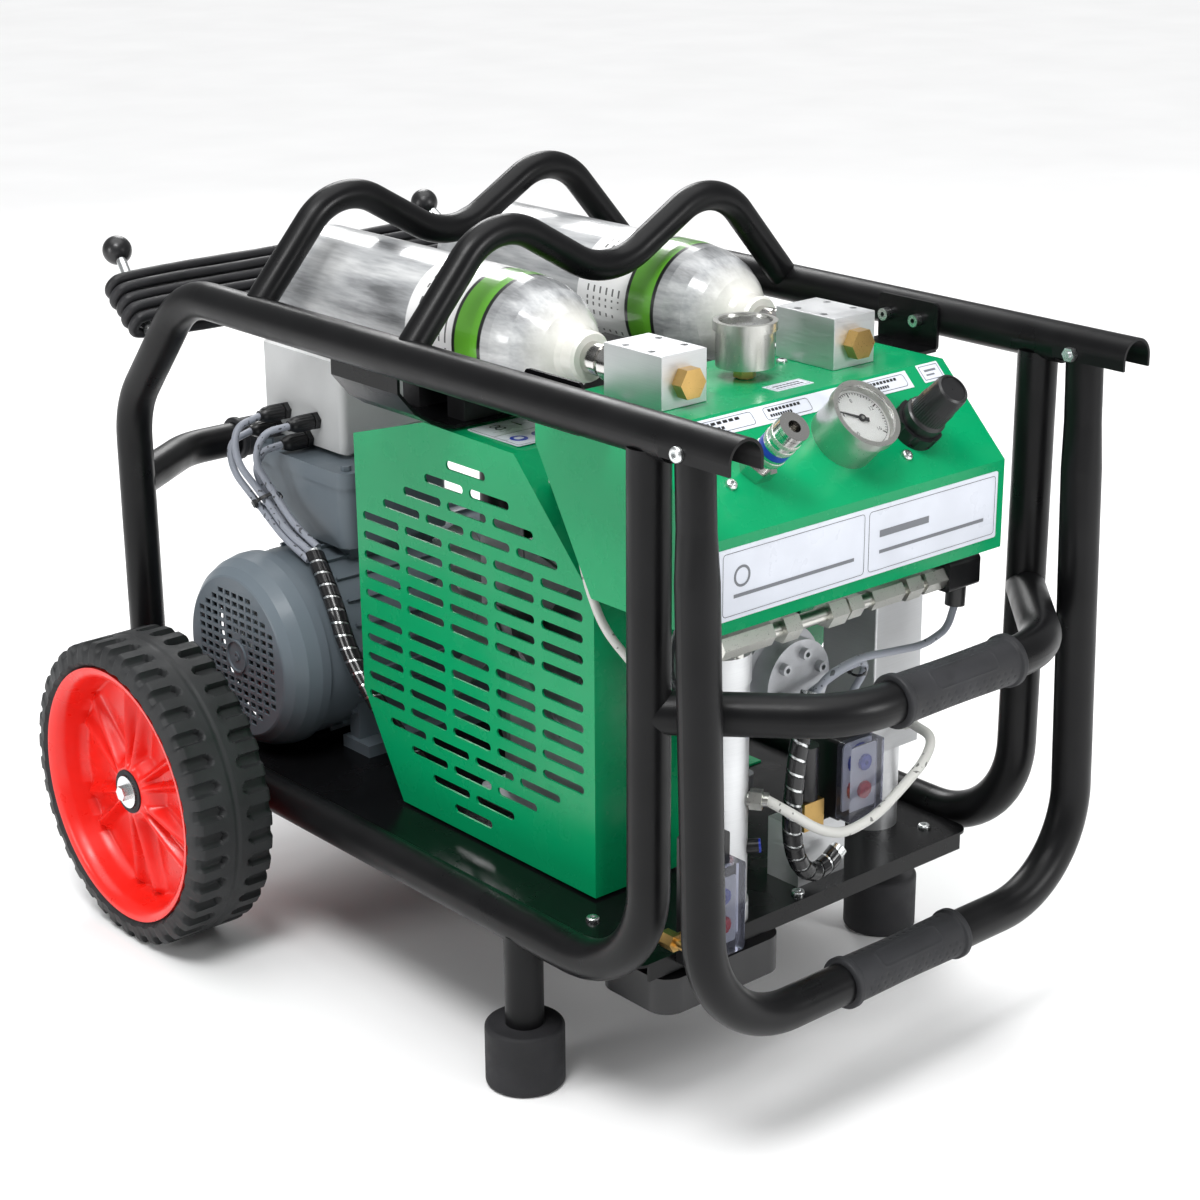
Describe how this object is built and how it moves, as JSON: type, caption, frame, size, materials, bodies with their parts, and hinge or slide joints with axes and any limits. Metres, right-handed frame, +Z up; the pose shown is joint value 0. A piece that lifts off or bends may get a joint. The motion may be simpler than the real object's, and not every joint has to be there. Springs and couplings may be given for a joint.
{
  "type": "portable air compressor",
  "caption": "Wheeled tube-frame air compressor: belt-driven pump and motor, two bottles on top, sloping control panel, folding pull handle, wheels and cord posts.",
  "frame": {"origin": "on the floor, in the middle of the length over both carrying grips and of the width over the tyres", "axes": "+X to the right seen from the control panel, +Y from the panel towards the wheels, +Z up"},
  "size_m": [0.696, 0.9728, 0.7255],
  "materials": {
    "frame_paint": "satin black powder coat",
    "green_paint": "gloss green",
    "black_rubber": "matt",
    "red_plastic": "gloss red moulding",
    "tyre": "matt",
    "zinc_steel": "zinc plated",
    "bottle_wrap": "wound fibre under clear resin, white label and green band",
    "chrome_neck": "bright",
    "block_aluminium": "machined",
    "brass": "machined",
    "white_label": "printed film",
    "gauge_case": "polished",
    "gauge_dial": "printed",
    "gauge_glass": "clear",
    "needle_black": "matt",
    "black_plastic": "moulded",
    "nickel": "nickel plated",
    "blue_ring": "polished, blue ring",
    "belt_rubber": "matt",
    "cast_aluminium": "cast",
    "cast_iron": "machined casting",
    "grey_paint": "grey paint on cast aluminium",
    "light_grey_plastic": "moulded",
    "grey_cable": "cable sheath",
    "black_wrap": "spiral wrap",
    "hose": "hose",
    "clear_cover": "smoky clear",
    "cord_rubber": "sheath",
    "black_gloss": "polished ball"
  },
  "bodies": {
    "frame": {"air_hoses": "hose", "base_plate": "frame_paint", "belt_guard": "green_paint", "bottle_cradle": "frame_paint", "bottle_guard_front": "frame_paint", "bottle_guard_rear": "frame_paint", "bottle_left": "bottle_wrap", "bottle_necks": "chrome_neck", "bottle_right": "bottle_wrap", "brass_fittings": "brass", "cable_glands": "black_plastic", "carry_grips": "black_rubber", "control_box": "light_grey_plastic", "control_cables": "grey_cable", "control_panel": "green_paint", "cord_posts": "zinc_steel", "coupling_body": "nickel", "cradle_pads": "black_rubber", "crankcase": "cast_aluminium", "cylinders": "cast_aluminium", "drain_tray": "black_plastic", "drive_belt": "belt_rubber", "fasteners": "zinc_steel", "front_handle": "frame_paint", "gauge_cases": "gauge_case", "gauge_dials": "gauge_dial", "gauge_glasses": "gauge_glass", "label_plates": "white_label", "manifold_blocks": "block_aluminium", "motor_fan_cover": "grey_paint", "motor_housing": "grey_paint", "pipe_fittings": "nickel", "post_knobs": "black_gloss", "power_cord_hank": "cord_rubber", "power_cord_lead": "cord_rubber", "power_plug": "black_rubber", "purifier_towers": "block_aluminium", "rear_handle": "frame_paint", "regulator_body": "black_plastic", "rubber_feet": "black_rubber", "side_frame_left": "frame_paint", "side_frame_right": "frame_paint", "spiral_wraps": "black_wrap", "switch_bodies": "black_plastic", "switch_covers": "clear_cover", "terminal_box": "grey_paint", "vent_cover": "green_paint", "wheel_axles": "zinc_steel"},
    "pull_handle": {"fold_handle": "frame_paint", "fold_grip": "black_rubber"},
    "left_wheel": {"wheel_left_rim": "red_plastic", "wheel_left_tyre": "tyre"},
    "right_wheel": {"wheel_right_rim": "red_plastic", "wheel_right_tyre": "tyre"},
    "crank": {"crankshaft": "cast_iron"},
    "rotor": {"motor_rotor": "zinc_steel"},
    "front_needle": {"front_gauge_needle": "needle_black"},
    "top_needle": {"top_gauge_needle": "needle_black"},
    "knob": {"regulator_knob": "black_plastic"},
    "sleeve": {"coupling_sleeve": "blue_ring"}
  },
  "joints": [
    {"name": "pull_handle_fold", "type": "hinge", "parent": "frame", "child": "pull_handle", "pos_m": [0, -0.403, 0.6145], "axis": [-1, 0, 0], "range_deg": [0, 88]},
    {"name": "left_wheel_spin", "type": "hinge", "parent": "frame", "child": "left_wheel", "pos_m": [-0.3, 0.274, 0.15], "axis": [1, 0, 0], "continuous": true},
    {"name": "right_wheel_spin", "type": "hinge", "parent": "frame", "child": "right_wheel", "pos_m": [0.3, 0.274, 0.15], "axis": [1, 0, 0], "continuous": true},
    {"name": "rotor_spin", "type": "hinge", "parent": "frame", "child": "rotor", "pos_m": [0, 0.287, 0.25], "axis": [1, 0, 0], "continuous": true},
    {"name": "crank_spin", "type": "hinge", "parent": "frame", "child": "crank", "pos_m": [0, -0.04, 0.35], "axis": [1, 0, 0], "continuous": true},
    {"name": "front_needle_turn", "type": "hinge", "parent": "frame", "child": "front_needle", "pos_m": [0.016, -0.34249, 0.5806], "axis": [0, 0.7071, -0.7071], "range_deg": [-73, 197]},
    {"name": "top_needle_turn", "type": "hinge", "parent": "frame", "child": "top_needle", "pos_m": [0.003, -0.221, 0.634], "axis": [0, 0, -1], "range_deg": [-35, 235]},
    {"name": "regulator_knob_turn", "type": "hinge", "parent": "frame", "child": "knob", "pos_m": [0.0955, -0.34249, 0.56929], "axis": [0, 0.7071, -0.7071], "range_deg": [0, 330]},
    {"name": "coupling_sleeve_slide", "type": "slide", "parent": "frame", "child": "sleeve", "axis": [0, 0.7071, -0.7071], "range_m": [0, 0.008], "stiffness_N_per_m": 600, "springref_m": -0.004}
  ],
  "couplings": [
    {"joint": "crank_spin", "follows": "rotor_spin", "ratio": 0.4}
  ]
}
